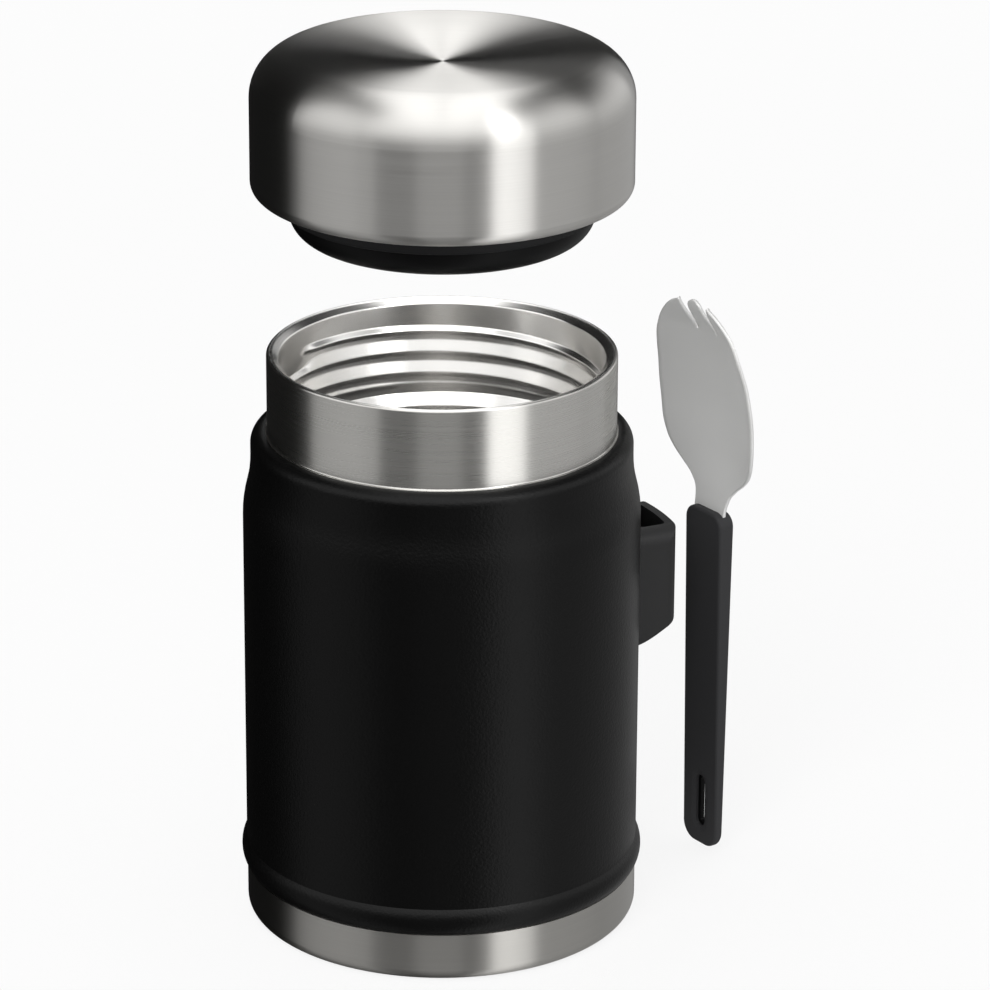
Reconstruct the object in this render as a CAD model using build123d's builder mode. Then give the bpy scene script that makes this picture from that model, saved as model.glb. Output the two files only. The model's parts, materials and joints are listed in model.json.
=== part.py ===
from build123d import *
import os
from math import asin, cos, degrees, radians, sin

# Vacuum food jar, millimetres. The jar stands on Z = 0 with its axis on Z, and its spork loop
# points along +X. The screw lid is lifted off above the jar, and the spork stands beside the loop.

# Sheet steel and fits
steel_wall = 0.8          # shell, collar, vessel, base and cap sheet
weld_gap = 0.02           # radial gap of nested sheet parts before welding
plastic_wall = 1.8        # moulded bottom of the stopper
vacuum_gap = 4.0          # between the shell and the vessel

# Outer shell
body_radius = 44.0
shoulder_height = 113.4   # flat black ledge round the neck
shoulder_step = 1.8       # the shoulder's edge lies this far inside the body
shoulder_round = 2.75
flare_drop = 5.6          # the side swells from the shoulder edge to the full body
flare_height = 13.6
bead_height = 14.5        # middle of the rolled bead
bead_half_height = 3.0
bead_bulge = 1.1

# Neck and mouth
neck_inset = 5.5          # from the body's radius to the neck's
neck_height = 18.1        # rim above the shoulder
lip_width = 2.7
collar_overlap = 3.0      # how far the collar reaches down inside the shoulder
mouth_depth = 21.5        # from the rim down to the sealing ledge
ledge_width = 2.1
ledge_round = 0.5
throat_height = 4.5
throat_edge_round = 0.9
throat_cone_height = 7.5
throat_round = 3.0
belly_round = 6.0

# Thread between the mouth and the stopper, one start, right-handed
thread_lead = 5.0
closing_turns = 1.5       # turns from the lid's first catch to closed
thread_root = 0.4         # how deep each ridge is rooted in its wall
thread_clearance = 0.35   # room between the two threads
thread_tip_gap = 0.5      # from the stopper's ridge to the mouth's wall
mouth_thread_rise = 3.6   # first ridge above the ledge
mouth_thread_turns = 2.2
mouth_thread_height = 0.9
mouth_thread_half_width = 1.2
stopper_thread_turns = 1.5
stopper_thread_half_width = 0.95

# Floors of the vessel and of the vacuum space
floor_gap = 3.8           # vacuum between the two floors
base_space = 4.2          # air between the base cup and the outer floor
inner_floor_dome = 3.0
inner_floor_round = 6.0
outer_floor_dome = 1.2
outer_floor_round = 4.0
vessel_weld_rise = 1.0    # the vessel's tube is welded on above the floor's corner
outer_floor_rim = 4.4
floor_land = 1.0          # flat left round the getter and the seal head
seal_hole_radius = 1.5
seal_head_radius = 3.5
seal_head_height = 1.2
getter_radius = 4.5
getter_height = 1.6
small_edge = 0.4          # softened edges of the getter, seal and gasket
foil_thickness = 0.3
foil_clearance = 0.05
foil_foot_gap = 1.0
foil_head_gap = 4.0

# Base cup
base_inset = 0.13         # the band's step inside the body's radius
base_round = 2.6
base_joint_gap = 0.3      # dark line between the bead and the base band
spigot_overlap = 3.5      # the cup's spigot stands this far above the bead, inside the shell
foot_width = 8.87
recess_slope = 3.0
recess_depth = 1.6

# Spork loop
loop_reach = 10.5         # from the shell to the outer wall, which is concentric with the jar
loop_half_width = 10.5
loop_wall = 2.0
loop_back_wall = 1.8
loop_top = 85.3
loop_height = 28.4        # from the top to the lowest point, at the jar
loop_foot_rise = 6.1      # the foot slants up to the outer wall
loop_slot_half_width = 6.9
loop_flank_round = 3.6
loop_corner_round = 3.0
loop_top_round = 1.4
loop_foot_round = 2.4
loop_slot_round = 1.2
loop_clearance = 0.05     # between the moulding and the shell
stud_spacing = 15.0
stud_shank_radius = 1.6
stud_head_radius = 2.8
stud_head_thickness = 0.7
stud_clearance = 0.1

# Lid
lid_lift_height = 54.9    # from the shoulder up to the lifted cap's lower edge
cap_neck_gap = 2.3
cap_height = 31.1
cap_round = 9.9
cap_dish = 2.2
cap_edge_round = 2.8      # the lower edge is rolled in to just clear the neck
closed_gap = 0.3          # between the closed lid and the shoulder and rim
insert_clearance = 0.05
insert_top_wall = 1.5
stopper_mouth_gap = 2.2
stopper_wall = 2.6
nose_depth = 6.4          # below the gasket
nose_clearance = 0.3
nose_round = 6.2
gasket_seat_width = 0.95  # the gasket's overlap on the sealing ledge
gasket_height = 2.6
gasket_groove_depth = 1.0
gasket_clearance = 0.05
gasket_seat_gap = 0.2
foam_clearance = 0.3

# Spork
spork_standoff = 11.4     # from the loop's outer wall to the spork's middle plane
spork_y = -0.63
spork_turn = 11.0         # degrees about the upright axis
spork_foot = 1.3
handle_length = 83.2
handle_half_width_foot = 6.1
handle_half_width_top = 6.4
handle_foot_corner = 4.2
handle_top_corner = 3.2
handle_inner_foot = 0.55  # face towards the jar, from the spork's middle plane
handle_inner_top = 1.45
handle_outer_foot = 1.6
handle_outer_top = 2.8
handle_edge_round = 0.7
hang_slot_rise = 10.8     # its middle above the handle's foot
hang_slot_length = 12.8
hang_slot_width = 3.2
hang_slot_dish_depth = 0.4
hang_slot_dish_width = 1.3
spork_sheet = 0.8
tang_face = 0.35          # tang's inner face, from the spork's middle plane
tang_length = 18.0
tang_half_width = 5.2
tang_clearance = 0.02
sheet_half_width = 16.2   # of the bowl before its outline is cut
head_neck = (5.2, 1.5)    # outline points: half-width, rise above the handle
head_flank = (7.7, 6.5)
head_shoulder = (12.3, 10.2)
head_widest = (15.8, 23.3)
head_cheek = (14.2, 39.0)
head_crown = (12.2, 44.6)
head_crown_round = 3.0
outer_tine_tip = (4.9, 50.0)
middle_tine_rise = 50.9
tine_root_rise = 42.5     # bottom of the slots between the tines
tine_slot_middle = 3.5
tine_slot_half_width = 0.4
tine_tip_round = 0.5

# Places that follow from the sizes above
shoulder_edge_radius = body_radius - shoulder_step
flare_top = shoulder_height - flare_drop
flare_bottom = flare_top - flare_height
neck_radius = body_radius - neck_inset
rim_height = shoulder_height + neck_height
lip_radius = lip_width / 2
lip_height = rim_height - lip_radius
mouth_radius = neck_radius - lip_width
ledge_height = rim_height - mouth_depth
throat_radius = mouth_radius - ledge_width
throat_bottom = ledge_height - throat_height
belly_radius = body_radius - 2 * steel_wall - vacuum_gap
belly_top = throat_bottom - throat_cone_height
mouth_thread_start = ledge_height + mouth_thread_rise
bead_top = bead_height + bead_half_height
bead_bottom = bead_height - bead_half_height
spigot_radius = body_radius - steel_wall - weld_gap
spigot_top = bead_top + spigot_overlap
base_radius = body_radius - base_inset
foot_inner_radius = base_radius - foot_width
recess_radius = foot_inner_radius - recess_slope
outer_floor_radius = spigot_radius - steel_wall - weld_gap
outer_floor_height = recess_depth + steel_wall + base_space
outer_floor_centre = outer_floor_height + outer_floor_dome
outer_floor_rim_top = outer_floor_height + outer_floor_round + outer_floor_rim
inner_floor_height = outer_floor_height + 2 * steel_wall + floor_gap
inner_floor_centre = inner_floor_height + inner_floor_dome
vessel_foot = inner_floor_height + inner_floor_round + vessel_weld_rise
foil_bottom = vessel_foot + foil_foot_gap
foil_top = belly_top - foil_head_gap
loop_radius = body_radius + loop_reach
loop_slot_start = body_radius + loop_back_wall
loop_foot = loop_top - loop_height
loop_middle = (loop_top + loop_foot) / 2
stud_heights = (loop_middle - stud_spacing / 2, loop_middle + stud_spacing / 2)
lid_travel = lid_lift_height - closed_gap
lid_drop = lid_travel - closing_turns * thread_lead
cap_bore = neck_radius + cap_neck_gap
cap_radius = cap_bore + steel_wall
cap_bottom = shoulder_height + lid_lift_height
cap_top = cap_bottom + cap_height
dish_radius = cap_radius - cap_round
insert_bottom = rim_height + closed_gap + lid_travel
insert_top = cap_top - cap_dish - steel_wall - insert_clearance
pocket_top = insert_top - insert_top_wall
stopper_radius = mouth_radius - stopper_mouth_gap
stopper_bore = stopper_radius - stopper_wall
stopper_thread_height = stopper_mouth_gap - thread_tip_gap
gasket_bottom = ledge_height + gasket_seat_gap + lid_travel
gasket_top = gasket_bottom + gasket_height
gasket_radius = throat_radius + gasket_seat_width
gasket_groove_radius = stopper_radius - gasket_groove_depth
stopper_bottom = gasket_bottom - nose_depth
nose_radius = throat_radius - nose_clearance
handle_top = spork_foot + handle_length
tang_foot = handle_top - tang_length
spork_turned = radians(spork_turn)
spork_front = Plane(
    origin=(loop_radius + spork_standoff, spork_y, 0),
    x_dir=(-sin(spork_turned), cos(spork_turned), 0),
    z_dir=(cos(spork_turned), sin(spork_turned), 0),
)
spork_side = Plane(origin=spork_front.origin, x_dir=spork_front.z_dir, z_dir=-spork_front.x_dir)
head_front = Plane(
    origin=spork_front.origin + (0, 0, handle_top), x_dir=spork_front.x_dir, z_dir=spork_front.z_dir
)

# Bowl of the spork's head, from its neck up: rise above the handle, how far the inner face lies
# from the spork's middle plane at its middle, and how far its edges lie nearer to the jar
bowl_sections = (
    (-1.0, tang_face, 0.2),
    (3.5, 1.0, 1.1),
    (12.5, 2.6, 4.0),
    (23.5, 3.0, 4.9),
    (31.5, 2.0, 5.8),
    (39.0, 0.5, 6.7),
    (51.5, -7.0, 4.3),
)

os.makedirs("parts", exist_ok=True)


def save(part, name):
    """Label a finished piece and write it to its own STEP file."""
    part.label = name
    export_step(part, f"parts/{name}.step")


def thread_plane(start_height, start_angle):
    """Plane across the jar's axis, turned so that a thread drawn on it starts at that angle."""
    start = radians(start_angle)
    return Plane(origin=(0, 0, start_height), x_dir=(cos(start), sin(start), 0), z_dir=(0, 0, 1))


def s_curve(start, end, direction):
    """Two equal arcs that leave the start and reach the end along the same direction."""
    middle = ((start[0] + end[0]) / 2, (start[1] + end[1]) / 2)
    first_arc = TangentArc(start, middle, tangent=direction)
    TangentArc(middle, end, tangent=first_arc % 1)


def ridge_outline(height, half_width):
    """Rounded thread ridge, its height along local X from the wall: negative points inwards."""
    root = -thread_root if height > 0 else thread_root
    ThreePointArc((root, -half_width), (height, 0), (root, half_width))
    Line((root, half_width), (root, -half_width))


def sheet_section(middle, lift):
    """Curved strip of the spork's sheet, drawn from above, with its edges lifted towards the jar."""
    inner_edge = lift - middle
    outer_edge = inner_edge - spork_sheet
    ThreePointArc((-sheet_half_width, inner_edge), (0, -middle), (sheet_half_width, inner_edge))
    Line((sheet_half_width, inner_edge), (sheet_half_width, outer_edge))
    ThreePointArc(
        (sheet_half_width, outer_edge), (0, -middle - spork_sheet), (-sheet_half_width, outer_edge)
    )
    Line((-sheet_half_width, outer_edge), (-sheet_half_width, inner_edge))


# ---------------------------------------------------------------- jar: shells and vessel

with BuildPart() as outer_shell:
    with BuildSketch(Plane.XZ):
        with BuildLine() as shell_line:
            round_start = (shoulder_edge_radius - shoulder_round, shoulder_height)
            round_end = (shoulder_edge_radius, shoulder_height - shoulder_round)
            Line((neck_radius + weld_gap, shoulder_height), round_start)
            CenterArc((round_start[0], round_end[1]), shoulder_round, 90, -90)
            Line(round_end, (shoulder_edge_radius, flare_top))
            s_curve((shoulder_edge_radius, flare_top), (body_radius, flare_bottom), (0, -1))
            Line((body_radius, flare_bottom), (body_radius, bead_top))
            ThreePointArc(
                (body_radius, bead_top), (body_radius + bead_bulge, bead_height), (body_radius, bead_bottom)
            )
            offset(shell_line.line, amount=steel_wall, side=Side.RIGHT, mode=Mode.REPLACE)
        make_face()
    revolve(axis=Axis.Z)
save(outer_shell.part, "outer_shell")

with BuildPart() as neck_collar:
    with BuildSketch(Plane.XY.offset(shoulder_height - collar_overlap)):
        Circle(neck_radius)
        Circle(neck_radius - steel_wall, mode=Mode.SUBTRACT)
    extrude(amount=lip_height - shoulder_height + collar_overlap)
save(neck_collar.part, "neck_collar")

with BuildPart() as inner_vessel:
    with BuildSketch(Plane.XZ):
        with BuildLine() as vessel_line:
            ThreePointArc(
                (neck_radius, lip_height), (neck_radius - lip_radius, rim_height), (mouth_radius, lip_height)
            )
            FilletPolyline(
                (mouth_radius, lip_height),
                (mouth_radius, ledge_height),
                (throat_radius, ledge_height),
                (throat_radius, throat_bottom),
                (belly_radius, belly_top),
                (belly_radius, vessel_foot),
                radius=[ledge_round, throat_edge_round, throat_round, belly_round],
            )
            offset(vessel_line.line, amount=steel_wall, side=Side.RIGHT, mode=Mode.REPLACE)
        make_face()
    revolve(axis=Axis.Z)
    mouth_thread_plane = thread_plane(mouth_thread_start, 0)
    with BuildLine(mouth_thread_plane) as mouth_helix:
        Helix(pitch=thread_lead, height=mouth_thread_turns * thread_lead, radius=mouth_radius)
    mouth_ridge_plane = Plane(
        origin=mouth_helix.line @ 0, x_dir=mouth_thread_plane.x_dir, z_dir=mouth_helix.line % 0
    )
    with BuildSketch(mouth_ridge_plane):
        with BuildLine():
            ridge_outline(-mouth_thread_height, mouth_thread_half_width)
        make_face()
    sweep(path=mouth_helix.line, is_frenet=True)
save(inner_vessel.part, "inner_vessel")

with BuildPart() as inner_floor:
    with BuildSketch(Plane.XZ):
        with BuildLine() as inner_floor_line:
            land_radius = getter_radius + floor_land
            corner_start = belly_radius - inner_floor_round
            corner_top = inner_floor_height + inner_floor_round
            Line((0, inner_floor_centre), (land_radius, inner_floor_centre))
            s_curve((land_radius, inner_floor_centre), (corner_start, inner_floor_height), (1, 0))
            CenterArc((corner_start, corner_top), inner_floor_round, -90, 90)
            Line((belly_radius, corner_top), (belly_radius, vessel_foot))
            offset(inner_floor_line.line, amount=steel_wall, side=Side.RIGHT, mode=Mode.REPLACE)
        make_face()
    revolve(axis=Axis.Z)
save(inner_floor.part, "inner_floor")

with BuildPart() as radiation_foil:
    with BuildSketch(Plane.XY.offset(foil_bottom)):
        foil_radius = belly_radius + steel_wall + foil_clearance
        Circle(foil_radius + foil_thickness)
        Circle(foil_radius, mode=Mode.SUBTRACT)
    extrude(amount=foil_top - foil_bottom)
save(radiation_foil.part, "radiation_foil")

with BuildPart() as outer_floor:
    with BuildSketch(Plane.XZ):
        with BuildLine() as outer_floor_line:
            land_radius = seal_head_radius + floor_land
            corner_end = outer_floor_radius - outer_floor_round
            corner_top = outer_floor_height + outer_floor_round
            Line((outer_floor_radius, outer_floor_rim_top), (outer_floor_radius, corner_top))
            CenterArc((corner_end, corner_top), outer_floor_round, 0, -90)
            s_curve((corner_end, outer_floor_height), (land_radius, outer_floor_centre), (-1, 0))
            Line((land_radius, outer_floor_centre), (seal_hole_radius, outer_floor_centre))
            offset(outer_floor_line.line, amount=steel_wall, side=Side.RIGHT, mode=Mode.REPLACE)
        make_face()
    revolve(axis=Axis.Z)
save(outer_floor.part, "outer_floor")

with BuildPart() as getter:
    with BuildSketch(Plane.XY.offset(inner_floor_centre - steel_wall)):
        Circle(getter_radius)
    extrude(amount=-getter_height)
    chamfer(getter.edges().group_by(Axis.Z)[0], length=small_edge)
save(getter.part, "getter")

with BuildPart() as vacuum_seal:
    with BuildSketch(Plane.XY.offset(outer_floor_centre)):
        Circle(seal_hole_radius - weld_gap)
    extrude(amount=steel_wall)
    with BuildSketch(Plane.XY.offset(outer_floor_centre)):
        Circle(seal_head_radius)
    extrude(amount=-seal_head_height)
    fillet(vacuum_seal.edges().group_by(Axis.Z)[0], radius=small_edge)
save(vacuum_seal.part, "vacuum_seal")

with BuildPart() as base_cup:
    with BuildSketch(Plane.XZ):
        with BuildLine() as base_line:
            band_top = bead_bottom - base_joint_gap
            Line((spigot_radius, spigot_top), (spigot_radius, band_top))
            Line((spigot_radius, band_top), (base_radius, band_top))
            Line((base_radius, band_top), (base_radius, base_round))
            CenterArc((base_radius - base_round, base_round), base_round, 0, -90)
            Line((base_radius - base_round, 0), (foot_inner_radius, 0))
            s_curve((foot_inner_radius, 0), (recess_radius, recess_depth), (-1, 0))
            Line((recess_radius, recess_depth), (0, recess_depth))
            offset(base_line.line, amount=steel_wall, side=Side.RIGHT, mode=Mode.REPLACE)
        make_face()
    revolve(axis=Axis.Z)
save(base_cup.part, "base_cup")

# ---------------------------------------------------------------- jar: spork loop

with BuildPart() as spork_loop:
    loop_back = body_radius + loop_clearance
    with BuildSketch(Plane.XZ):
        with BuildLine():
            Polyline(
                (loop_back, loop_top),
                (loop_radius, loop_top),
                (loop_radius, loop_foot + loop_foot_rise),
                (loop_back, loop_foot),
                close=True,
            )
        loop_profile = make_face()
        foot_corner, top_corner = loop_profile.vertices().group_by(Axis.X)[-1].sort_by(Axis.Y)
        fillet(foot_corner, radius=loop_foot_round)
        fillet(loop_profile.vertices().sort_by_distance(top_corner)[0], radius=loop_top_round)
    revolve(axis=Axis.Z)
    with BuildSketch(Plane.YZ) as loop_front:
        with Locations((0, loop_middle)):
            Rectangle(2 * loop_half_width, loop_height)
        fillet(loop_front.vertices(), radius=loop_flank_round)
    extrude(amount=loop_radius, mode=Mode.INTERSECT)
    with BuildSketch() as loop_plan:
        Circle(loop_radius)
        with Locations((loop_radius / 2, 0)):
            Rectangle(loop_radius, 2 * loop_half_width, mode=Mode.INTERSECT)
        fillet(loop_plan.vertices().group_by(Axis.X)[-1], radius=loop_corner_round)
    extrude(amount=loop_top, mode=Mode.INTERSECT)
    with BuildSketch() as loop_slot:
        Circle(loop_radius - loop_wall)
        with Locations((loop_slot_start, 0)):
            Rectangle(
                loop_radius, 2 * loop_slot_half_width, align=(Align.MIN, Align.CENTER), mode=Mode.INTERSECT
            )
        fillet(loop_slot.vertices(), radius=loop_slot_round)
    extrude(amount=loop_top, mode=Mode.SUBTRACT)
    with BuildSketch(Plane.YZ.offset(loop_slot_start)):
        with Locations(*[(0, height) for height in stud_heights]):
            Circle(stud_head_radius + stud_clearance)
    extrude(amount=-stud_head_thickness - stud_clearance, mode=Mode.SUBTRACT)
    with BuildSketch(Plane.YZ.offset(loop_slot_start)):
        with Locations(*[(0, height) for height in stud_heights]):
            Circle(stud_shank_radius + stud_clearance)
    extrude(amount=body_radius - loop_slot_start, mode=Mode.SUBTRACT)
save(spork_loop.part, "spork_loop")

with BuildPart() as loop_studs:
    with BuildSketch(Plane.YZ.offset(body_radius)):
        with Locations(*[(0, height) for height in stud_heights]):
            Circle(stud_shank_radius)
    extrude(amount=loop_slot_start - stud_clearance - body_radius)
    with BuildSketch(Plane.YZ.offset(loop_slot_start - stud_clearance)):
        with Locations(*[(0, height) for height in stud_heights]):
            Circle(stud_head_radius)
    extrude(amount=-stud_head_thickness)
save(loop_studs.part, "loop_studs")

# ---------------------------------------------------------------- lid

with BuildPart() as lid_cap:
    with BuildSketch(Plane.XZ):
        with BuildLine() as cap_line:
            s_curve((0, cap_top - cap_dish), (dish_radius, cap_top), (1, 0))
            CenterArc((dish_radius, cap_top - cap_round), cap_round, 90, -90)
            Line((cap_radius, cap_top - cap_round), (cap_radius, cap_bottom + cap_edge_round))
            CenterArc((cap_radius - cap_edge_round, cap_bottom + cap_edge_round), cap_edge_round, 0, -90)
            offset(cap_line.line, amount=steel_wall, side=Side.RIGHT, mode=Mode.REPLACE)
        make_face()
    revolve(axis=Axis.Z)
save(lid_cap.part, "lid_cap")

with BuildPart() as lid_insert:
    with BuildSketch(Plane.XZ):
        with BuildLine():
            insert_round = cap_round - steel_wall - insert_clearance
            round_height = cap_top - cap_round
            round_sweep = degrees(asin((insert_top - round_height) / insert_round))
            insert_edge = CenterArc((dish_radius, round_height), insert_round, 0, round_sweep)
            Polyline(
                insert_edge @ 1,
                (0, insert_top),
                (0, pocket_top),
                (stopper_bore, pocket_top),
                (stopper_bore, insert_bottom),
                (cap_bore - insert_clearance, insert_bottom),
                insert_edge @ 0,
            )
        make_face()
    revolve(axis=Axis.Z)
save(lid_insert.part, "lid_insert")

with BuildPart() as stopper:
    with BuildSketch(Plane.XZ):
        with BuildLine():
            Polyline(
                (stopper_bore, gasket_bottom),
                (gasket_groove_radius, gasket_bottom),
                (gasket_groove_radius, gasket_top),
                (stopper_radius, gasket_top),
                (stopper_radius, insert_bottom),
                (stopper_bore, insert_bottom),
                close=True,
            )
        make_face()
    revolve(axis=Axis.Z)
    mouth_thread_top = mouth_thread_start + mouth_thread_turns * thread_lead + mouth_thread_half_width
    stopper_thread_start = mouth_thread_top + thread_clearance + stopper_thread_half_width + lid_drop
    thread_offset = stopper_thread_start - lid_drop - mouth_thread_start - thread_lead / 2
    stopper_thread_plane = thread_plane(stopper_thread_start, 360 * thread_offset / thread_lead)
    with BuildLine(stopper_thread_plane) as stopper_helix:
        Helix(pitch=thread_lead, height=stopper_thread_turns * thread_lead, radius=stopper_radius)
    stopper_ridge_plane = Plane(
        origin=stopper_helix.line @ 0, x_dir=stopper_thread_plane.x_dir, z_dir=stopper_helix.line % 0
    )
    with BuildSketch(stopper_ridge_plane):
        with BuildLine():
            ridge_outline(stopper_thread_height, stopper_thread_half_width)
        make_face()
    sweep(path=stopper_helix.line, is_frenet=True)
save(stopper.part, "stopper")

with BuildPart() as stopper_base:
    with BuildSketch(Plane.XZ):
        with BuildLine() as nose_line:
            FilletPolyline(
                (nose_radius, gasket_bottom),
                (nose_radius, stopper_bottom),
                (0, stopper_bottom),
                radius=nose_round,
            )
            offset(nose_line.line, amount=plastic_wall, side=Side.RIGHT, mode=Mode.REPLACE)
        make_face()
    revolve(axis=Axis.Z)
save(stopper_base.part, "stopper_base")

with BuildPart() as lid_gasket:
    with BuildSketch(Plane.XY.offset(gasket_bottom)):
        Circle(gasket_radius)
        Circle(gasket_groove_radius + gasket_clearance, mode=Mode.SUBTRACT)
    extrude(amount=gasket_height)
    fillet(lid_gasket.edges().filter_by(GeomType.CIRCLE).group_by(SortBy.RADIUS)[-1], radius=small_edge)
save(lid_gasket.part, "lid_gasket")

with BuildPart() as lid_foam:
    foam_bottom = stopper_bottom + plastic_wall + foam_clearance
    foam_top = pocket_top - closing_turns * thread_lead - foam_clearance
    with BuildSketch(Plane.XY.offset(foam_bottom)):
        Circle(stopper_bore - foam_clearance)
    extrude(amount=foam_top - foam_bottom)
    fillet(lid_foam.edges().group_by(Axis.Z)[0], radius=nose_round - plastic_wall)
save(lid_foam.part, "lid_foam")

# ---------------------------------------------------------------- spork

with BuildPart() as spork_head:
    for rise, middle, lift in bowl_sections:
        section_origin = spork_front.origin + (0, 0, handle_top + rise)
        with BuildSketch(Plane(origin=section_origin, x_dir=spork_front.x_dir)):
            with BuildLine():
                sheet_section(middle, lift)
            make_face()
    loft()
    with BuildSketch(head_front) as head_outline:
        with BuildLine():
            flank = Spline(
                head_neck, head_flank, head_shoulder, head_widest, head_cheek, head_crown,
                tangents=[(0, 1), (-0.4, 1)],
            )
            Polyline(
                head_crown,
                outer_tine_tip,
                (tine_slot_middle + tine_slot_half_width, tine_root_rise),
                (tine_slot_middle - tine_slot_half_width, tine_root_rise),
                (0, middle_tine_rise),
            )
            Polyline(head_neck, (head_neck[0], 0), (0, 0))
            mirror(about=Plane.YZ)
        make_face()
        tine_tips = head_outline.vertices().group_by(Axis.Y)[-2:]
        fillet(tine_tips[0] + tine_tips[1], radius=tine_tip_round)
        crowns = head_outline.vertices().sort_by_distance(head_crown)[0:1]
        crowns += head_outline.vertices().sort_by_distance((-head_crown[0], head_crown[1]))[0:1]
        fillet(crowns, radius=head_crown_round)
    extrude(amount=sheet_half_width, both=True, mode=Mode.INTERSECT)
    with BuildSketch(spork_front.offset(tang_face)):
        with Locations((0, tang_foot)):
            Rectangle(2 * tang_half_width, tang_length, align=(Align.CENTER, Align.MIN))
    extrude(amount=spork_sheet)
save(spork_head.part, "spork_head")

with BuildPart() as spork_handle:
    with BuildSketch(spork_front) as handle_outline:
        with BuildLine():
            Polyline(
                (-handle_half_width_foot, spork_foot),
                (handle_half_width_foot, spork_foot),
                (handle_half_width_top, handle_top),
                (-handle_half_width_top, handle_top),
                close=True,
            )
        make_face()
        fillet(handle_outline.vertices().group_by(Axis.Y)[0], radius=handle_foot_corner)
        fillet(handle_outline.vertices().group_by(Axis.Y)[-1], radius=handle_top_corner)
    extrude(amount=handle_half_width_top, both=True)
    with BuildSketch(spork_side):
        with BuildLine():
            Polyline(
                (-handle_inner_foot, spork_foot),
                (handle_outer_foot, spork_foot),
                (handle_outer_top, handle_top),
                (-handle_inner_top, handle_top),
                close=True,
            )
        make_face()
    extrude(amount=handle_half_width_top, both=True, mode=Mode.INTERSECT)
    for broad_face in spork_handle.faces().sort_by(SortBy.AREA)[-2:]:
        fillet(broad_face.edges(), radius=handle_edge_round)
    with BuildSketch(spork_front.offset(tang_face - tang_clearance)):
        with Locations((0, tang_foot - tang_clearance)):
            Rectangle(
                2 * (tang_half_width + tang_clearance), tang_length + tang_clearance,
                align=(Align.CENTER, Align.MIN),
            )
    extrude(amount=spork_sheet + 2 * tang_clearance, mode=Mode.SUBTRACT)
    with BuildSketch(spork_front):
        with Locations((0, spork_foot + hang_slot_rise)):
            SlotOverall(hang_slot_length, hang_slot_width, rotation=90)
    extrude(amount=handle_half_width_top, both=True, mode=Mode.SUBTRACT)
    across = Axis(spork_front.origin, spork_front.z_dir)
    inner_face = spork_handle.faces().sort_by(SortBy.AREA)[-2:].sort_by(across)[0]
    slot_rim = inner_face.inner_wires()[0].edges()
    chamfer(slot_rim, length=hang_slot_dish_width, length2=hang_slot_dish_depth, reference=inner_face)
save(spork_handle.part, "spork_handle")
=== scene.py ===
"""Looks of the vacuum food jar: finishes, fine geometry, studio and camera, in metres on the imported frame."""

import json
from math import atan2, ceil, cos, floor, radians, sin, tan

import bpy
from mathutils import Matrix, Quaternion, Vector

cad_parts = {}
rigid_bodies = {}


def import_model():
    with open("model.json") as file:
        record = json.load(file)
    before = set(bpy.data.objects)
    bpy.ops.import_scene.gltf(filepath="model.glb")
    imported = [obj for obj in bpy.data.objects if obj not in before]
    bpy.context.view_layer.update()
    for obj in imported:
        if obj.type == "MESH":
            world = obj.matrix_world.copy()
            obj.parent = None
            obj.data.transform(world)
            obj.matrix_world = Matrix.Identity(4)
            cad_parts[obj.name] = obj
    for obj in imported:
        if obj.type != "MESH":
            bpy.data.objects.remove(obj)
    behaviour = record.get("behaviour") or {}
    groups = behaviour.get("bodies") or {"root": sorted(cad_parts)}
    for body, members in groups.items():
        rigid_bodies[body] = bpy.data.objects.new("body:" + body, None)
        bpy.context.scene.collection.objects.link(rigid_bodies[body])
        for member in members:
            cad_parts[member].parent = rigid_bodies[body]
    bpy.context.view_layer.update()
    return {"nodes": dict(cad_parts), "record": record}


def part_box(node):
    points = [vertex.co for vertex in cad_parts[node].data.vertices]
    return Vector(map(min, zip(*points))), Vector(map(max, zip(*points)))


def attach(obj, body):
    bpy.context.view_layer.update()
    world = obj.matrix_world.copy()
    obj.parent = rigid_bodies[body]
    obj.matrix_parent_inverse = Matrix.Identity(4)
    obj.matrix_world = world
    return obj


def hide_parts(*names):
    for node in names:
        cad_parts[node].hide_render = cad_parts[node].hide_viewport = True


# Camera, from the photograph's perspective
CAMERA_PLACE = Vector((-0.43254, -0.95534, 0.49733))
CAMERA_TARGET = Vector((0.01063, -0.00496, 0.09788))
CAMERA_ROLL = 0.317          # degrees
CAMERA_LENS = 184.67         # millimetres on a 36 mm sensor
CAMERA_AZIMUTH = -115.0      # degrees, direction from the jar to the camera in the plan
CAMERA_CLIP = (0.01, 20.0)

# Studio
DIFFUSE_LEVEL = 0.75         # world light on matt surfaces
KEY_PLACE = Vector((-0.9, -0.9, 1.5))
KEY_TARGET = Vector((0.0, 0.0, 0.1))
KEY_SIZE = 0.8
KEY_POWER = 12.0             # watts
FLOOR_RADIUS = 1.6
FLOOR_WHITE = 0.9
FLOOR_FILM = 0.15            # share of the floor that is matt white, the rest lets the white room through
FLOOR_FADE_START = 0.2       # share of the radius from which the film fades out
DOME_RADIUS = 2.6
DOME_CENTRE = 0.12           # height, about the middle of the jar
DOME_LEVEL = 0.012           # radiance of the dark room between the panels
PANEL_SIDE_FADE = 3.0        # degrees over which a panel fades past its side, and as much before it
PANEL_END_FADE = 12.0        # the same for its foot and top
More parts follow.
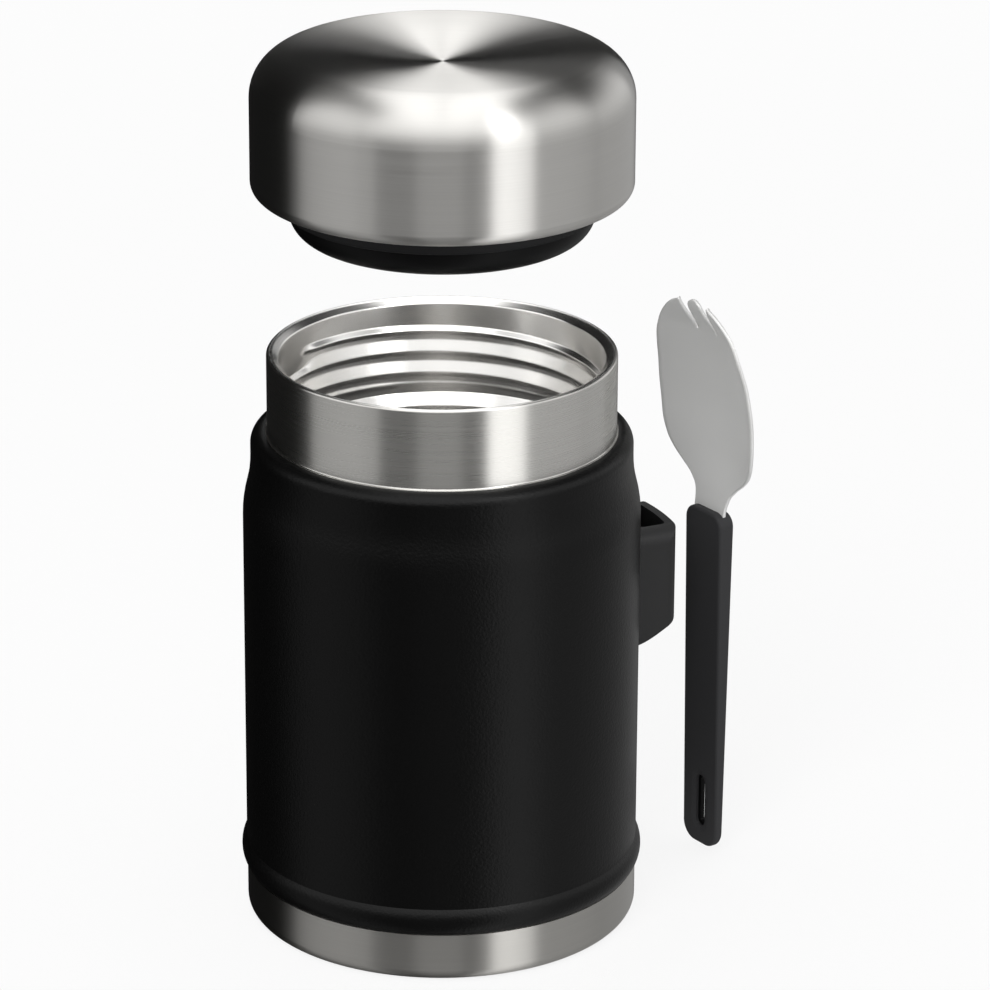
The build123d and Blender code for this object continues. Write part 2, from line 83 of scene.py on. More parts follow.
# Panels round the jar, as seen from it: first and last azimuth in degrees from the camera's side, positive
# to its right, lowest and highest elevation, radiance. The low ones make the streaks in the steel bands,
# the high ones the glow on the cap's rounded edge.
PANELS = (
    (-92, -40, -80, 0, 0.46),
    (-40, -15, -80, 0, 0.04),
    (-15, 14, -80, 0, 0.25),
    (14, 30, -80, 0, 0.04),
    (30, 56, -80, 20, 1.6),
    (56, 104, -80, 5, 0.5),
    (104, 164, -80, 26, 0.44),
    (-98, -50, 8, 55, 1.6),
    (-50, 60, 16, 68, 2.0),
    (60, 104, 8, 50, 1.4),
    (104, 150, 0, 26, 0.7),
    (36, 52, 36, 50, 8.0),
)
# Ceiling panel, as shares of its height over the jar: how far it reaches behind the jar (negative is in
# front), its half-width at the two ends, its fade as shares of that, and the seam between its halves
CEILING_FRONT = -1.2
CEILING_BACK = 2.2
CEILING_HALF_WIDTH = (0.47, 0.10)
CEILING_FADE = (0.6, 1.4)
CEILING_END_FADE = 0.1
CEILING_SEAM = 0.010
CEILING_LOWEST = 5.0         # degrees above the horizon
CEILING_LEVEL = 2.3

# Steel brushed in circles round the jar's axis: name, colour, roughness, anisotropy, share by which the
# lines darken the colour
BRUSHED_STEELS = (
    ("neck_steel", (0.61, 0.60, 0.575), 0.28, 0.9, 0.10),
    ("vessel_steel", (0.82, 0.81, 0.79), 0.24, 0.8, 0.12),
    ("base_steel", (0.42, 0.41, 0.39), 0.33, 0.98, 0.15),
    ("cap_steel", (0.57, 0.56, 0.54), 0.32, 0.98, 0.15),
)
BRUSH_ALONG = 0.8            # noise cells in a radian along the lines
BRUSH_ACROSS = 4200.0        # noise cells in a metre across them
BRUSH_DEPTH = 5e-8           # metres
BRUSH_CHANGE = 0.15          # share by which the roughness changes from line to line
# Finishes with a fine all-over grain: name, colour, roughness, size and depth of the grain, specular level,
# metallic, share by which the grain's flecks are lighter
GRAINED_FINISHES = (
    ("powder_coat", (0.0012, 0.0012, 0.0012), 0.36, 0.0006, 0.00008, 0.16, 0.0, 0.4),
    ("stud_steel", (0.55, 0.54, 0.52), 0.35, 0.0003, 0.00001, 0.5, 1.0, 0.0),
    ("spork_steel", (0.80, 0.80, 0.79), 0.42, 0.0002, 0.000004, 0.5, 0.25, 0.0),
    ("loop_plastic", (0.015, 0.015, 0.0155), 0.5, 0.0004, 0.00002, 0.25, 0.0, 0.0),
    ("handle_plastic", (0.038, 0.038, 0.040), 0.55, 0.0004, 0.00002, 0.12, 0.0, 0.0),
    ("lid_plastic", (0.0025, 0.0025, 0.0027), 0.42, 0.0006, 0.00001, 0.1, 0.0, 0.0),
    ("gasket_rubber", (0.005, 0.005, 0.0055), 0.6, 0.0004, 0.00001, 0.2, 0.0, 0.0),
    ("foam", (0.85, 0.83, 0.75), 0.9, 0.0012, 0.0002, 0.2, 0.0, 0.0),
    ("foil", (0.75, 0.75, 0.76), 0.3, 0.003, 0.0002, 0.5, 1.0, 0.0),
    ("getter", (0.2, 0.2, 0.2), 0.7, 0.0004, 0.00003, 0.5, 0.6, 0.0),
    ("seal_glass", (0.1, 0.1, 0.11), 0.12, 0.001, 0.00001, 0.5, 0.0, 0.0),
)
PATCHES = 45.0               # patches of other roughness in a metre
PATCH_CHANGE = 0.08          # share by which their roughness differs

# Vessel and neck, in metres, after the inner_vessel and neck_collar nodes
SHEET = 0.0008
NECK_SHEET = SHEET / 2
NECK_RADIUS = 0.0385
NECK_FOOT_GAP = SHEET / 20   # clearance over the shoulder
NECK_FOOT_ROUND = 0.0004
NECK_ROUND_SHARE = 0.98      # share of the level rims at its foot and top that the neck's roundings take up
LIP_OUTER_ROUND = 0.0006
LIP_TOP = 0.0005             # level part of the lip's top, before it falls inwards
LIP_TOP_ROUND = 0.0014
LIP_INNER_ROUND = 0.0006
LIP_FALL = 0.0022            # height over which the lip turns into the mouth's wall
MOUTH_RADIUS = 0.0358
WALL_REACH = MOUTH_RADIUS + 2 * SHEET    # the mouth's wall lies within this radius
THROAT_RADIUS = 0.0337
BELLY_RADIUS = 0.0384
SEAT_TOP = 0.1093            # foot of the mouth's wall, over a slanted seat where the node has a level one
SEAT_FOOT = 0.1068
THROAT_BOTTOM = 0.1055
BELLY_TOP = 0.0980
SEAT_ROUND = 0.0003
THROAT_EDGE_ROUND = 0.0009
THROAT_ROUND = 0.0012
BELLY_ROUND = 0.006
VESSEL_COLUMNS = 216
WALL_ROW = 0.00015           # height of a mesh row where the thread is
EDGE_STEPS = 8               # mesh rows in a rounding of the lip and neck
INNER_STEPS = 6              # the same from the seat down
# Rolled thread: long flank above each crest, short flank under it
THREAD_LEAD = 0.005
THREAD_DEPTH = 0.0009
THREAD_END = 127.0           # degrees, where the topmost turn runs out
THREAD_END_CREST = 0.12495   # height of its crest there
THREAD_RUN_OUT = 9.0         # degrees over which it fades
THREAD_FALL = 0.0012         # flank under a crest, and over the topmost one
THREAD_RISE = 0.0030         # flank over every other crest
THREAD_ROUND = 0.12          # share of a flank that is rounded at its crest, and at its foot
THREAD_FADE = (0.1104, 0.1120)           # heights between which the lowest turn fades in

# Spork's head, in metres, after the spork_head node
SPORK_PLACE = Vector((0.0659, -0.00063, 0.0845))     # middle plane at the handle's top
SPORK_TURN = 11.0            # degrees, the azimuth that its back faces, away from the jar
SPORK_SHEET = 0.0008
SPORK_BEND = 0.016           # half-width over which the sheet's lift is given
# Rise above the handle, inner face from the middle plane, and the lift of the sheet's edges to the jar
BOWL = (
    (-0.018, 0.00035, 0.0002), (-0.001, 0.00035, 0.0002), (0.004, 0.0012, 0.0010), (0.0085, 0.0021, 0.0023),
    (0.014, 0.00275, 0.0035), (0.022, 0.0030, 0.0041), (0.032, 0.0019, 0.0045), (0.042, -0.0007, 0.0054),
    (0.051, -0.0056, 0.0032),
)
# Rise and half-width of the outline, up to the outer tines' tips
HEAD_OUTLINE = (
    (-0.018, 0.0052), (0.0005, 0.0052), (0.0035, 0.0058), (0.006, 0.0078), (0.0085, 0.0109), (0.011, 0.0133),
    (0.014, 0.0149), (0.019, 0.0160), (0.026, 0.0163), (0.033, 0.0158), (0.039, 0.0147), (0.043, 0.0132),
    (0.046, 0.0111), (0.0485, 0.0081), (0.0501, 0.00525),
)
HEAD_FOOT = HEAD_OUTLINE[0][0]
OUTER_TINE_RISE = HEAD_OUTLINE[-1][0]
MIDDLE_TINE_RISE = 0.0509
MIDDLE_TINE_ROUND = 0.0016
MIDDLE_TINE_ROWS = (0.0, 0.06, 0.15, 0.28)           # mesh rows under its tip, as shares of its rounding
MIDDLE_TINE_END = 0.00025    # half-width left at its very tip
SLOT_ROOT = 0.0425
SLOT_MIDDLE = 0.0035         # from the head's middle
SLOT_HALF_WIDTHS = (0.00035, 0.00150)    # at the root, at the outer tines' tips
HEAD_ROW = 0.0005
# Strips of the head from side to side, outer tine, slot, middle tine, slot, outer tine: mesh columns in each
# and the rise at which its sheet ends
HEAD_COLUMNS = (12, 2, 12, 2, 12)
STRIP_ENDS = (OUTER_TINE_RISE, SLOT_ROOT, MIDDLE_TINE_RISE, SLOT_ROOT, OUTER_TINE_RISE)

# Sleeve in the spork's hang slot, in metres: a near-black sheet that narrows the slot, painted shade for its
# dark inside
HANG_SLOT_MIDDLE = 0.0121    # height
HANG_SLOT_LENGTH = 0.0128
HANG_SLOT_WIDTH = 0.0032
HANG_SLOT_SHADE_SLEEVE = 0.00085   # its thickness
HANG_SLOT_DEPTHS = (0.0004, 0.00155)     # from the spork's middle plane, away from the jar
HANG_SLOT_STEPS = 16         # mesh columns in each of its round ends


class Graph:
    """Shorthand for building a node tree."""

    def __init__(self, tree):
        self.tree = tree
        tree.nodes.clear()

    def add(self, kind, inputs=None, **settings):
        node = self.tree.nodes.new("ShaderNode" + kind)
        for name, value in settings.items():
            setattr(node, name, value)
        for name, value in (inputs or {}).items():
            if isinstance(value, bpy.types.NodeSocket):
                self.tree.links.new(value, node.inputs[name])
            else:
                node.inputs[name].default_value = value
        return node

    def math(self, operation, first, second=0.0):
        return self.add("Math", {0: first, 1: second}, operation=operation).outputs[0]

    def mix_colour(self, share, first, second):
        """The first colour where the share is 0, the second where it is 1."""
        inputs = {0: share, 6: tuple(first) + (1,), 7: tuple(second) + (1,)}
        return self.add("Mix", inputs, data_type="RGBA").outputs[2]

    def around(self, share, value, change):
        """A number near the given one: less by the change where the share is 0, more where it is 1."""
        limits = {"To Min": value * (1 - change), "To Max": value * (1 + change)}
        return self.add("MapRange", {"Value": share, **limits}).outputs["Result"]

    def relief(self, height, depth):
        return self.add("Bump", {"Height": height, "Strength": 1.0, "Distance": depth}).outputs["Normal"]


def new_material(name):
    material = bpy.data.materials.new(name)
    material.use_nodes = True
    return material, Graph(material.node_tree)


def finish_material(graph, shader):
    graph.add("OutputMaterial", {"Surface": shader})


def grey(level):
    return (level, level, level, 1.0)


# ---------------------------------------------------------------- materials


def round_brush_vector(graph):
    """Noise coordinates that run in circles round the jar's axis: lines stretched along, fine across."""
    place = graph.add("TexCoord").outputs["Object"]
    axes = graph.add("SeparateXYZ", {"Vector": place})
    flat = graph.add("CombineXYZ", {"X": axes.outputs["X"], "Y": axes.outputs["Y"]}).outputs["Vector"]
    radius = graph.add("VectorMath", {0: flat}, operation="LENGTH").outputs["Value"]
    turned = graph.add("VectorMath", {0: flat}, operation="NORMALIZE").outputs["Vector"]
    turned = graph.add("VectorMath", {0: turned, "Scale": BRUSH_ALONG}, operation="SCALE").outputs["Vector"]
    line = graph.math("MULTIPLY", graph.math("ADD", radius, axes.outputs["Z"]), BRUSH_ACROSS)
    line = graph.add("CombineXYZ", {"Z": line}).outputs["Vector"]
    return graph.add("VectorMath", {0: turned, 1: line}, operation="ADD").outputs["Vector"]


def round_brushed_steel(name, colour, roughness, anisotropy, streak):
    """Steel brushed or polished in circles round the jar's axis."""
    material, graph = new_material(name)
    lines = graph.add(
        "TexNoise", {"Vector": round_brush_vector(graph), "Scale": 1.0, "Detail": 4.0, "Roughness": 0.65}
    ).outputs["Fac"]
    surface = graph.add(
        "BsdfPrincipled",
        {
            "Base Color": graph.mix_colour(lines, (c * (1 - streak) for c in colour), colour),
            "Metallic": 1.0,
            "Roughness": graph.around(lines, roughness, BRUSH_CHANGE),
            "Anisotropic": anisotropy,
            "Anisotropic Rotation": 0.25,
            "Tangent": graph.add("Tangent", direction_type="RADIAL", axis="Z").outputs["Tangent"],
            "Normal": graph.relief(lines, BRUSH_DEPTH),
        },
    )
    finish_material(graph, surface.outputs["BSDF"])
    return material


def grained(name, colour, roughness, grain_size, grain_depth, specular, metallic, fleck):
    """Surface with a fine all-over grain: powder coat, moulded plastic, blasted steel."""
    material, graph = new_material(name)
    place = graph.add("TexCoord").outputs["Object"]
    grain = graph.add(
        "TexNoise", {"Vector": place, "Scale": 1.0 / grain_size, "Detail": 2.0, "Roughness": 0.55}
    ).outputs["Fac"]
    patch = graph.add("TexNoise", {"Vector": place, "Scale": PATCHES, "Detail": 3.0}).outputs["Fac"]
    surface = graph.add(
        "BsdfPrincipled",
        {
            "Base Color": graph.mix_colour(grain, colour, (c * (1 + fleck) for c in colour)),
            "Metallic": metallic,
            "Roughness": graph.around(patch, roughness, PATCH_CHANGE),
            "Specular IOR Level": specular,
            "Normal": graph.relief(grain, grain_depth),
        },
    )
    finish_material(graph, surface.outputs["BSDF"])
    return material


# ---------------------------------------------------------------- finer pieces


def add_piece(name, points, faces, stands_for, finish, smooth=True):
    """Mesh that rides with the body of the node it belongs to, in the given finish."""
    mesh = bpy.data.meshes.new(name)
    mesh.from_pydata(points, [], faces)
    mesh.polygons.foreach_set("use_smooth", [smooth] * len(faces))
    mesh.materials.append(MATERIALS[finish])
    piece = bpy.data.objects.new(name, mesh)
    bpy.context.collection.objects.link(piece)
    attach(piece, BODY_OF[stands_for])
    return piece


def ring_faces(ring_count, count):
    """Quads between closed rings of points, each ring joined to the next and the last to the first."""
    faces = []
    for ring in range(ring_count):
        following = (ring + 1) % ring_count
        for step in range(count):
            beside = (step + 1) % count
            faces.append((ring * count + step, ring * count + beside,
                          following * count + beside, following * count + step))
    return faces


def rounded_line(points, radii, steps):
    """Polyline with its inner corners rounded to the given radii."""
    line = [points[0]]
    for before, corner, after, radius in zip(points, points[1:], points[2:], radii):
        to_before = Vector(before) - Vector(corner)
        to_after = Vector(after) - Vector(corner)
        turn = to_before.angle(to_after)
        reach = radius / tan(turn / 2)
        middle = (to_before.normalized() + to_after.normalized()).normalized() * (radius / sin(turn / 2))
        start = to_before.normalized() * reach - middle
        end = to_after.normalized() * reach - middle
        sweep = atan2(start.x * end.y - start.y * end.x, start.dot(end))
        for step in range(steps + 1):
            angle = sweep * step / steps
            spoke_x = start.x * cos(angle) - start.y * sin(angle)
            spoke_y = start.x * sin(angle) + start.y * cos(angle)
            line.append(tuple(Vector(corner) + middle + Vector((spoke_x, spoke_y))))
    return line + [points[-1]]


def sheet_loop(line, thickness):
    """Section of a sheet: its visible side, then its back, which lies to the left of the line."""
    back = []
    for index, (radius, height) in enumerate(line):
        before = line[max(index - 1, 0)]
        after = line[min(index + 1, len(line) - 1)]
        run = Vector((after[0] - before[0], after[1] - before[1])).normalized()
        back.append((radius - run.y * thickness, height + run.x * thickness))
    return line + back[::-1]


def revolved(loop, relief=None):
    """Points of a closed section turned round the jar's axis; the relief draws the mouth's wall inwards."""
    points = []
    for radius, height in loop:
        in_wall = relief is not None and radius < WALL_REACH
        for column in range(VESSEL_COLUMNS):
            angle = 360 * column / VESSEL_COLUMNS
            drawn = radius - relief(angle, height) if in_wall else radius
            points.append((drawn * cos(radians(angle)), drawn * sin(radians(angle)), height))
    return points


def smooth_share(value, start, end):
    share = min(max((value - start) / (end - start), 0.0), 1.0)
    return share * share * (3 - 2 * share)


def flank_share(distance, width):
    """1 at a crest, 0 at the given distance from it: a straight flank, rounded at both ends."""
    t = min(distance / width, 1.0)
    if t < THREAD_ROUND:
        return 1 - t**2 / (2 * THREAD_ROUND * (1 - THREAD_ROUND))
    if t < 1 - THREAD_ROUND:
        return 1 - (t - THREAD_ROUND / 2) / (1 - THREAD_ROUND)
    return (1 - t) ** 2 / (2 * THREAD_ROUND * (1 - THREAD_ROUND))


def thread_relief(angle, height):
    """How far the rolled thread stands inwards from the mouth's wall; the angle is in degrees."""
    before_end = (THREAD_END - angle) % 360
    presence = smooth_share(before_end, 0.0, THREAD_RUN_OUT)
    drop = THREAD_END_CREST - THREAD_LEAD * before_end / 360 - height
    if drop < 0:
        relief = presence * flank_share(-drop, THREAD_FALL)
    else:
        turn = floor(drop / THREAD_LEAD)
        under = drop - turn * THREAD_LEAD
        above = presence if turn == 0 else 1.0
        rise = THREAD_FALL + (THREAD_RISE - THREAD_FALL) * above
        relief = above * flank_share(under, THREAD_FALL) + flank_share(THREAD_LEAD - under, rise)
    return THREAD_DEPTH * relief * smooth_share(height, *THREAD_FADE)


def build_vessel():
    """Inner vessel with a rolled lip and a rolled thread that runs out under it."""
    low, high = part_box("inner_vessel")
    rim = high[2]
    lip_height = rim - LIP_FALL
    lip = rounded_line(
        [
            (NECK_RADIUS - LIP_OUTER_ROUND, rim),
            (NECK_RADIUS - LIP_OUTER_ROUND - LIP_TOP, rim),
            (MOUTH_RADIUS, rim - LIP_FALL / 2),
            (MOUTH_RADIUS, lip_height),
        ],
        [LIP_TOP_ROUND, LIP_INNER_ROUND],
        EDGE_STEPS,
    )
    rows = ceil((lip_height - SEAT_TOP - 2 * SEAT_ROUND) / WALL_ROW)
    wall = [(MOUTH_RADIUS, lip_height - WALL_ROW * row) for row in range(1, rows)]
    below = rounded_line(
        [
            (MOUTH_RADIUS, SEAT_TOP + 2 * SEAT_ROUND),
            (MOUTH_RADIUS, SEAT_TOP),
            (THROAT_RADIUS, SEAT_FOOT),
            (THROAT_RADIUS, THROAT_BOTTOM),
            (BELLY_RADIUS, BELLY_TOP),
            (BELLY_RADIUS, low[2]),
        ],
        [SEAT_ROUND, THROAT_EDGE_ROUND, THROAT_ROUND, BELLY_ROUND],
        INNER_STEPS,
    )
    loop = sheet_loop(lip + wall + below, SHEET)
    points = revolved(loop, thread_relief)
    faces = ring_faces(len(loop), VESSEL_COLUMNS)
    vessel = add_piece("vessel_with_thread", points, faces, "inner_vessel", "vessel_steel")
    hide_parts("inner_vessel")
    return vessel


def build_neck():
    """Brushed neck with a small fillet at its foot and a rounded upper edge."""
    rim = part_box("inner_vessel")[1][2]
    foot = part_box("outer_shell")[1][2] + NECK_FOOT_GAP
    line = rounded_line(
        [
            (NECK_RADIUS + NECK_FOOT_ROUND, foot),
            (NECK_RADIUS, foot),
            (NECK_RADIUS, rim),
            (NECK_RADIUS - LIP_OUTER_ROUND, rim),
        ],
        [NECK_FOOT_ROUND * NECK_ROUND_SHARE, LIP_OUTER_ROUND * NECK_ROUND_SHARE],
        EDGE_STEPS,
    )
    loop = sheet_loop(line, NECK_SHEET)
    faces = ring_faces(len(loop), VESSEL_COLUMNS)
    neck = add_piece("neck_with_edge", revolved(loop), faces, "neck_collar", "neck_steel")
    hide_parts("neck_collar")
    return neck


def smooth_curve(rows, at, column):
    """Value of a column between given rows, on a curve through them that never overshoots them."""
    if at <= rows[0][0]:
        return rows[0][column]
    if at >= rows[-1][0]:
        return rows[-1][column]
    index = max(i for i in range(len(rows) - 1) if rows[i][0] <= at)

    def slope(i):
        if i == 0 or i == len(rows) - 1:
            return 0.0
        left = (rows[i][column] - rows[i - 1][column]) / (rows[i][0] - rows[i - 1][0])
        right = (rows[i + 1][column] - rows[i][column]) / (rows[i + 1][0] - rows[i][0])
        return 2 * left * right / (left + right) if left * right > 0 else 0.0

    start, end = rows[index], rows[index + 1]
    gap = end[0] - start[0]
    t = (at - start[0]) / gap
    return (
        (2 * t**3 - 3 * t**2 + 1) * start[column] + (t**3 - 2 * t**2 + t) * gap * slope(index)
        + (3 * t**2 - 2 * t**3) * end[column] + (t**3 - t**2) * gap * slope(index + 1)
    )


def spork_place(across, out, rise):
    """Point from its place in the spork's middle plane: across it, away from the jar, above the handle."""
    turn = radians(SPORK_TURN)
    flat = Vector((-sin(turn), cos(turn), 0)) * across + Vector((cos(turn), sin(turn), 0)) * out
    return SPORK_PLACE + flat + Vector((0, 0, rise))


def bowl_out(across, rise):
    """How far from the middle plane the bowl's inner face lies."""
    return smooth_curve(BOWL, rise, 1) - smooth_curve(BOWL, rise, 2) * (across / SPORK_BEND) ** 2


def head_rises():
    """Heights of the head's mesh rows."""
    steps = int((OUTER_TINE_RISE - HEAD_FOOT) / HEAD_ROW)
    rises = [HEAD_FOOT + HEAD_ROW * step for step in range(steps)] + [SLOT_ROOT, OUTER_TINE_RISE]
    rises += [MIDDLE_TINE_RISE - share * MIDDLE_TINE_ROUND for share in MIDDLE_TINE_ROWS]
    return sorted({round(rise, 6) for rise in rises})


def strip_sides(rise):
    """Where the head's five strips start and end across it."""
    open_share = min(max((rise - SLOT_ROOT) / (OUTER_TINE_RISE - SLOT_ROOT), 0.0), 1.0)
    slot = SLOT_HALF_WIDTHS[0] + (SLOT_HALF_WIDTHS[1] - SLOT_HALF_WIDTHS[0]) * open_share
    past_round = max(rise - (MIDDLE_TINE_RISE - MIDDLE_TINE_ROUND), 0.0) / MIDDLE_TINE_ROUND
    inner = (SLOT_MIDDLE - slot) * max(1 - past_round**2, 0.0) ** 0.5
    inner = max(inner, MIDDLE_TINE_END)
    outer = smooth_curve(HEAD_OUTLINE, min(rise, OUTER_TINE_RISE), 1)
    return (-outer, -SLOT_MIDDLE - slot, -inner, inner, SLOT_MIDDLE + slot, outer)


def head_row(rise):
    """Points of one mesh row of the bowl's inner face."""
    sides = strip_sides(rise)
    row = []
    for first, last, count in zip(sides, sides[1:], HEAD_COLUMNS):
        row += [first + (last - first) * step / count for step in range(count)]
    return [spork_place(across, bowl_out(across, rise), rise) for across in row + [sides[-1]]]


def build_spork_head():
    """Bowl and three tines of the spork, one bent sheet."""
    rises = head_rises()
    points = [point for rise in rises for point in head_row(rise)]
    strips = [strip for strip, count in enumerate(HEAD_COLUMNS) for _ in range(count)]
    width = len(strips) + 1
    kept = []
    for row, rise in enumerate(rises[:-1]):
        for column, strip in enumerate(strips):
            if rise < STRIP_ENDS[strip]:
                corner = row * width + column
                kept.append((corner, corner + width, corner + width + 1, corner + 1))
    used = sorted({corner for face in kept for corner in face})
    place_of = {corner: index for index, corner in enumerate(used)}
    faces = [tuple(place_of[corner] for corner in face) for face in kept]
    corners = [points[corner] for corner in used]
    head = add_piece("spork_bowl", corners, faces, "spork_head", "spork_steel")
    sheet = head.modifiers.new("sheet", "SOLIDIFY")
    sheet.thickness = SPORK_SHEET
    sheet.offset = -1.0
    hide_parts("spork_head")
    return head


def hang_slot_outline(inset):
    """Outline of the hang slot, drawn in by the inset."""
    radius = HANG_SLOT_WIDTH / 2 - inset
    straight = HANG_SLOT_LENGTH / 2 - HANG_SLOT_WIDTH / 2
    turns = [radians(180 * step / HANG_SLOT_STEPS) for step in range(HANG_SLOT_STEPS + 1)]
    upper = [(radius * cos(turn), straight + radius * sin(turn)) for turn in turns]
    return upper + [(-across, -along) for across, along in upper]


def build_slot_shade_sleeve():
    """Near-black sleeve in the spork's hang slot, which leaves it narrower than its dished rim: painted shade
    for the slot's dark inside.
    """
    near, far = HANG_SLOT_DEPTHS
    rings = ((0.0, near), (HANG_SLOT_SHADE_SLEEVE, near), (HANG_SLOT_SHADE_SLEEVE, far), (0.0, far))
    points = [
        spork_place(across, depth, HANG_SLOT_MIDDLE + along - SPORK_PLACE.z)
        for inset, depth in rings for across, along in hang_slot_outline(inset)
    ]
    faces = ring_faces(len(rings), len(points) // len(rings))
    # The sleeve takes the near-black lid plastic, darker than the handle's: painted shade in the slot.
    return add_piece("slot_shade_sleeve", points, faces, "spork_handle", "lid_plastic", smooth=False)


# ---------------------------------------------------------------- studio


def build_world():
    """White room for the camera, metal and glass, and a plain grey light on matt surfaces."""
    world = bpy.data.worlds.new("studio_room")
    world.use_nodes = True
    world.cycles.sampling_method = "NONE"
    bpy.context.scene.world = world
    graph = Graph(world.node_tree)
    path = graph.add("LightPath").outputs
    seen = graph.math("MAXIMUM", path["Is Camera Ray"], path["Is Glossy Ray"])
    seen = graph.math("MAXIMUM", seen, path["Is Transmission Ray"])
    matt = graph.add("Background", {"Color": grey(1.0), "Strength": DIFFUSE_LEVEL})
    white = graph.add("Background", {"Color": grey(1.0), "Strength": 1.0})
    mixed = graph.add("MixShader", {0: seen, 1: matt.outputs[0], 2: white.outputs[0]})
    graph.add("OutputWorld", {"Surface": mixed.outputs[0]})


def soft_step(graph, value, start, end, low=0.0, high=1.0):
    return graph.add(
        "MapRange", {"Value": value, "From Min": start, "From Max": end, "To Min": low, "To Max": high},
        interpolation_type="SMOOTHSTEP",
    ).outputs["Result"]


def soft_window(graph, value, first, last, fade):
    """1 between two limits, falling to 0 over the fade on each side of them."""
    rise = soft_step(graph, value, first - fade, first + fade)
    return graph.math("MULTIPLY", rise, soft_step(graph, value, last - fade, last + fade, 1.0, 0.0))


def wall_panels(graph, azimuth, elevation):
    """Radiance of the dark room with the panels round the jar."""
    level = DOME_LEVEL
    for first, last, lowest, highest, radiance in PANELS:
        sides = soft_window(graph, azimuth, first, last, PANEL_SIDE_FADE)
        ends = soft_window(graph, elevation, lowest, highest, PANEL_END_FADE)
        panel = graph.math("MULTIPLY", graph.math("MULTIPLY", sides, ends), radiance)
        level = graph.math("ADD", panel, level)
    return level


def ceiling_panel(graph, axes, elevation):
    """Radiance of the panel over the jar, narrow behind it and wide in front, in two halves."""
    across = graph.math("ABSOLUTE", graph.math("DIVIDE", axes["X"], axes["Z"]))
    behind = graph.math("DIVIDE", axes["Y"], axes["Z"])
    half_width = graph.add(
        "MapRange",
        {"Value": behind, "From Min": CEILING_FRONT, "From Max": CEILING_BACK,
         "To Min": CEILING_HALF_WIDTH[0], "To Max": CEILING_HALF_WIDTH[1]},
    ).outputs["Result"]
    panel = soft_step(graph, graph.math("DIVIDE", across, half_width), *CEILING_FADE, 1.0, 0.0)
    panel = graph.math("MULTIPLY", panel, soft_step(graph, across, 0.0, CEILING_SEAM))
    ends = soft_window(graph, behind, CEILING_FRONT, CEILING_BACK, CEILING_END_FADE)
    panel = graph.math("MULTIPLY", panel, ends)
    panel = graph.math("MULTIPLY", panel, graph.math("GREATER_THAN", elevation, CEILING_LOWEST))
    return graph.math("MULTIPLY", panel, CEILING_LEVEL)


def build_dome():
    """Dark room with pale panels, which only metal and gloss mirror."""
    bpy.ops.mesh.primitive_uv_sphere_add(
        segments=64, ring_count=32, radius=DOME_RADIUS, location=(0, 0, DOME_CENTRE)
    )
    dome = bpy.context.active_object
    dome.name = "studio_dome"
    dome.rotation_euler.z = radians(CAMERA_AZIMUTH + 90)
    material, graph = new_material("studio_dome")
    place = graph.add("TexCoord").outputs["Object"]
    way = graph.add("VectorMath", {0: place}, operation="NORMALIZE").outputs["Vector"]
    axes = graph.add("SeparateXYZ", {"Vector": way}).outputs
    azimuth = graph.math("ARCTAN2", axes["X"], graph.math("MULTIPLY", axes["Y"], -1.0))
    azimuth = graph.math("DEGREES", azimuth)
    elevation = graph.math("DEGREES", graph.math("ARCSINE", axes["Z"]))
    walls = wall_panels(graph, azimuth, elevation)
    level = graph.math("MAXIMUM", walls, ceiling_panel(graph, axes, elevation))
    finish_material(graph, graph.add("Emission", {"Color": grey(1.0), "Strength": level}).outputs[0])
    dome.data.materials.append(material)
    dome.visible_camera = False
    dome.visible_diffuse = False
    dome.visible_shadow = False


def build_floor():
    """Thin white film that keeps the jar's shadow and lets the white room through."""
    bpy.ops.mesh.primitive_circle_add(vertices=128, radius=FLOOR_RADIUS, fill_type="NGON")
    ground = bpy.context.active_object
    ground.name = "studio_floor"
    material, graph = new_material("studio_floor")
    place = graph.add("TexCoord").outputs["Object"]
    distance = graph.add("VectorMath", {0: place}, operation="LENGTH").outputs["Value"]
    film = soft_step(graph, distance, FLOOR_FADE_START * FLOOR_RADIUS, FLOOR_RADIUS, FLOOR_FILM, 0.0)
    matt = graph.add("BsdfDiffuse", {"Color": grey(FLOOR_WHITE)})
    clear = graph.add("BsdfTransparent")
    mixed = graph.add("MixShader", {0: film, 1: clear.outputs[0], 2: matt.outputs[0]})
    finish_material(graph, mixed.outputs[0])
    ground.data.materials.append(material)
    ground.visible_glossy = False


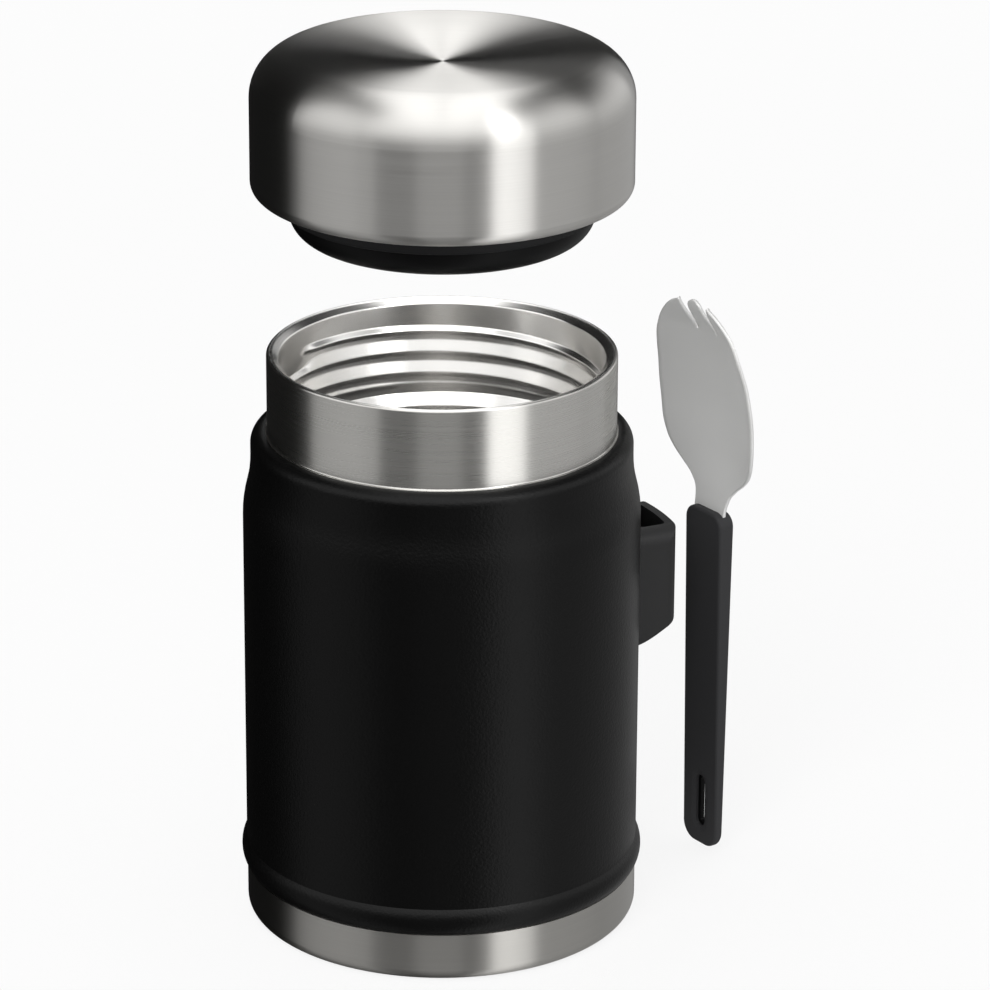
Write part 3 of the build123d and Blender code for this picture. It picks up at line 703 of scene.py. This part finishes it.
def build_key_lamp():
    """Soft lamp that throws the jar's shadow and isn't mirrored."""
    lamp = bpy.data.lights.new("key_softbox", "AREA")
    lamp.shape = "DISK"
    lamp.size = KEY_SIZE
    lamp.energy = KEY_POWER
    holder = bpy.data.objects.new("key_softbox", lamp)
    bpy.context.collection.objects.link(holder)
    holder.location = KEY_PLACE
    holder.rotation_mode = "QUATERNION"
    holder.rotation_quaternion = (KEY_TARGET - KEY_PLACE).to_track_quat("-Z", "Y")
    holder.visible_glossy = False


def build_camera():
    camera = bpy.data.objects.new("camera", bpy.data.cameras.new("camera"))
    bpy.context.collection.objects.link(camera)
    camera.data.lens = CAMERA_LENS
    camera.location = CAMERA_PLACE
    camera.rotation_mode = "QUATERNION"
    aim = (CAMERA_TARGET - CAMERA_PLACE).to_track_quat("-Z", "Y")
    camera.rotation_quaternion = aim @ Quaternion((0, 0, 1), radians(CAMERA_ROLL))
    camera.data.clip_start, camera.data.clip_end = CAMERA_CLIP
    bpy.context.scene.camera = camera


# ---------------------------------------------------------------- scene

MATERIALS = {steel[0]: round_brushed_steel(*steel) for steel in BRUSHED_STEELS}
MATERIALS.update({finish[0]: grained(*finish) for finish in GRAINED_FINISHES})

for thing in list(bpy.data.objects):
    bpy.data.objects.remove(thing)
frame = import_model()

BODY_OF = {
    node: body for body, members in frame["record"]["behaviour"]["bodies"].items() for node in members
}
SLOT_OF = {part["node"]: part["material_slot"] for part in frame["record"]["subparts"]}
for node_name, node in frame["nodes"].items():
    node.data.materials.clear()
    node.data.materials.append(MATERIALS[SLOT_OF[node_name]])

# Metal doesn't mirror the lid and the spork's handle; it does mirror the bowl
for node_name, body in BODY_OF.items():
    if body != "jar":
        frame["nodes"][node_name].visible_glossy = False
# These let the room's matt light reach the spork
for node_name in ("outer_shell", "lid_cap", "stopper", "stopper_base"):
    frame["nodes"][node_name].visible_diffuse = False
build_vessel().visible_diffuse = False
build_neck().visible_diffuse = False

build_spork_head()
build_slot_shade_sleeve()
build_world()
build_dome()
build_floor()
build_key_lamp()
build_camera()

bpy.context.scene.view_settings.view_transform = "Standard"
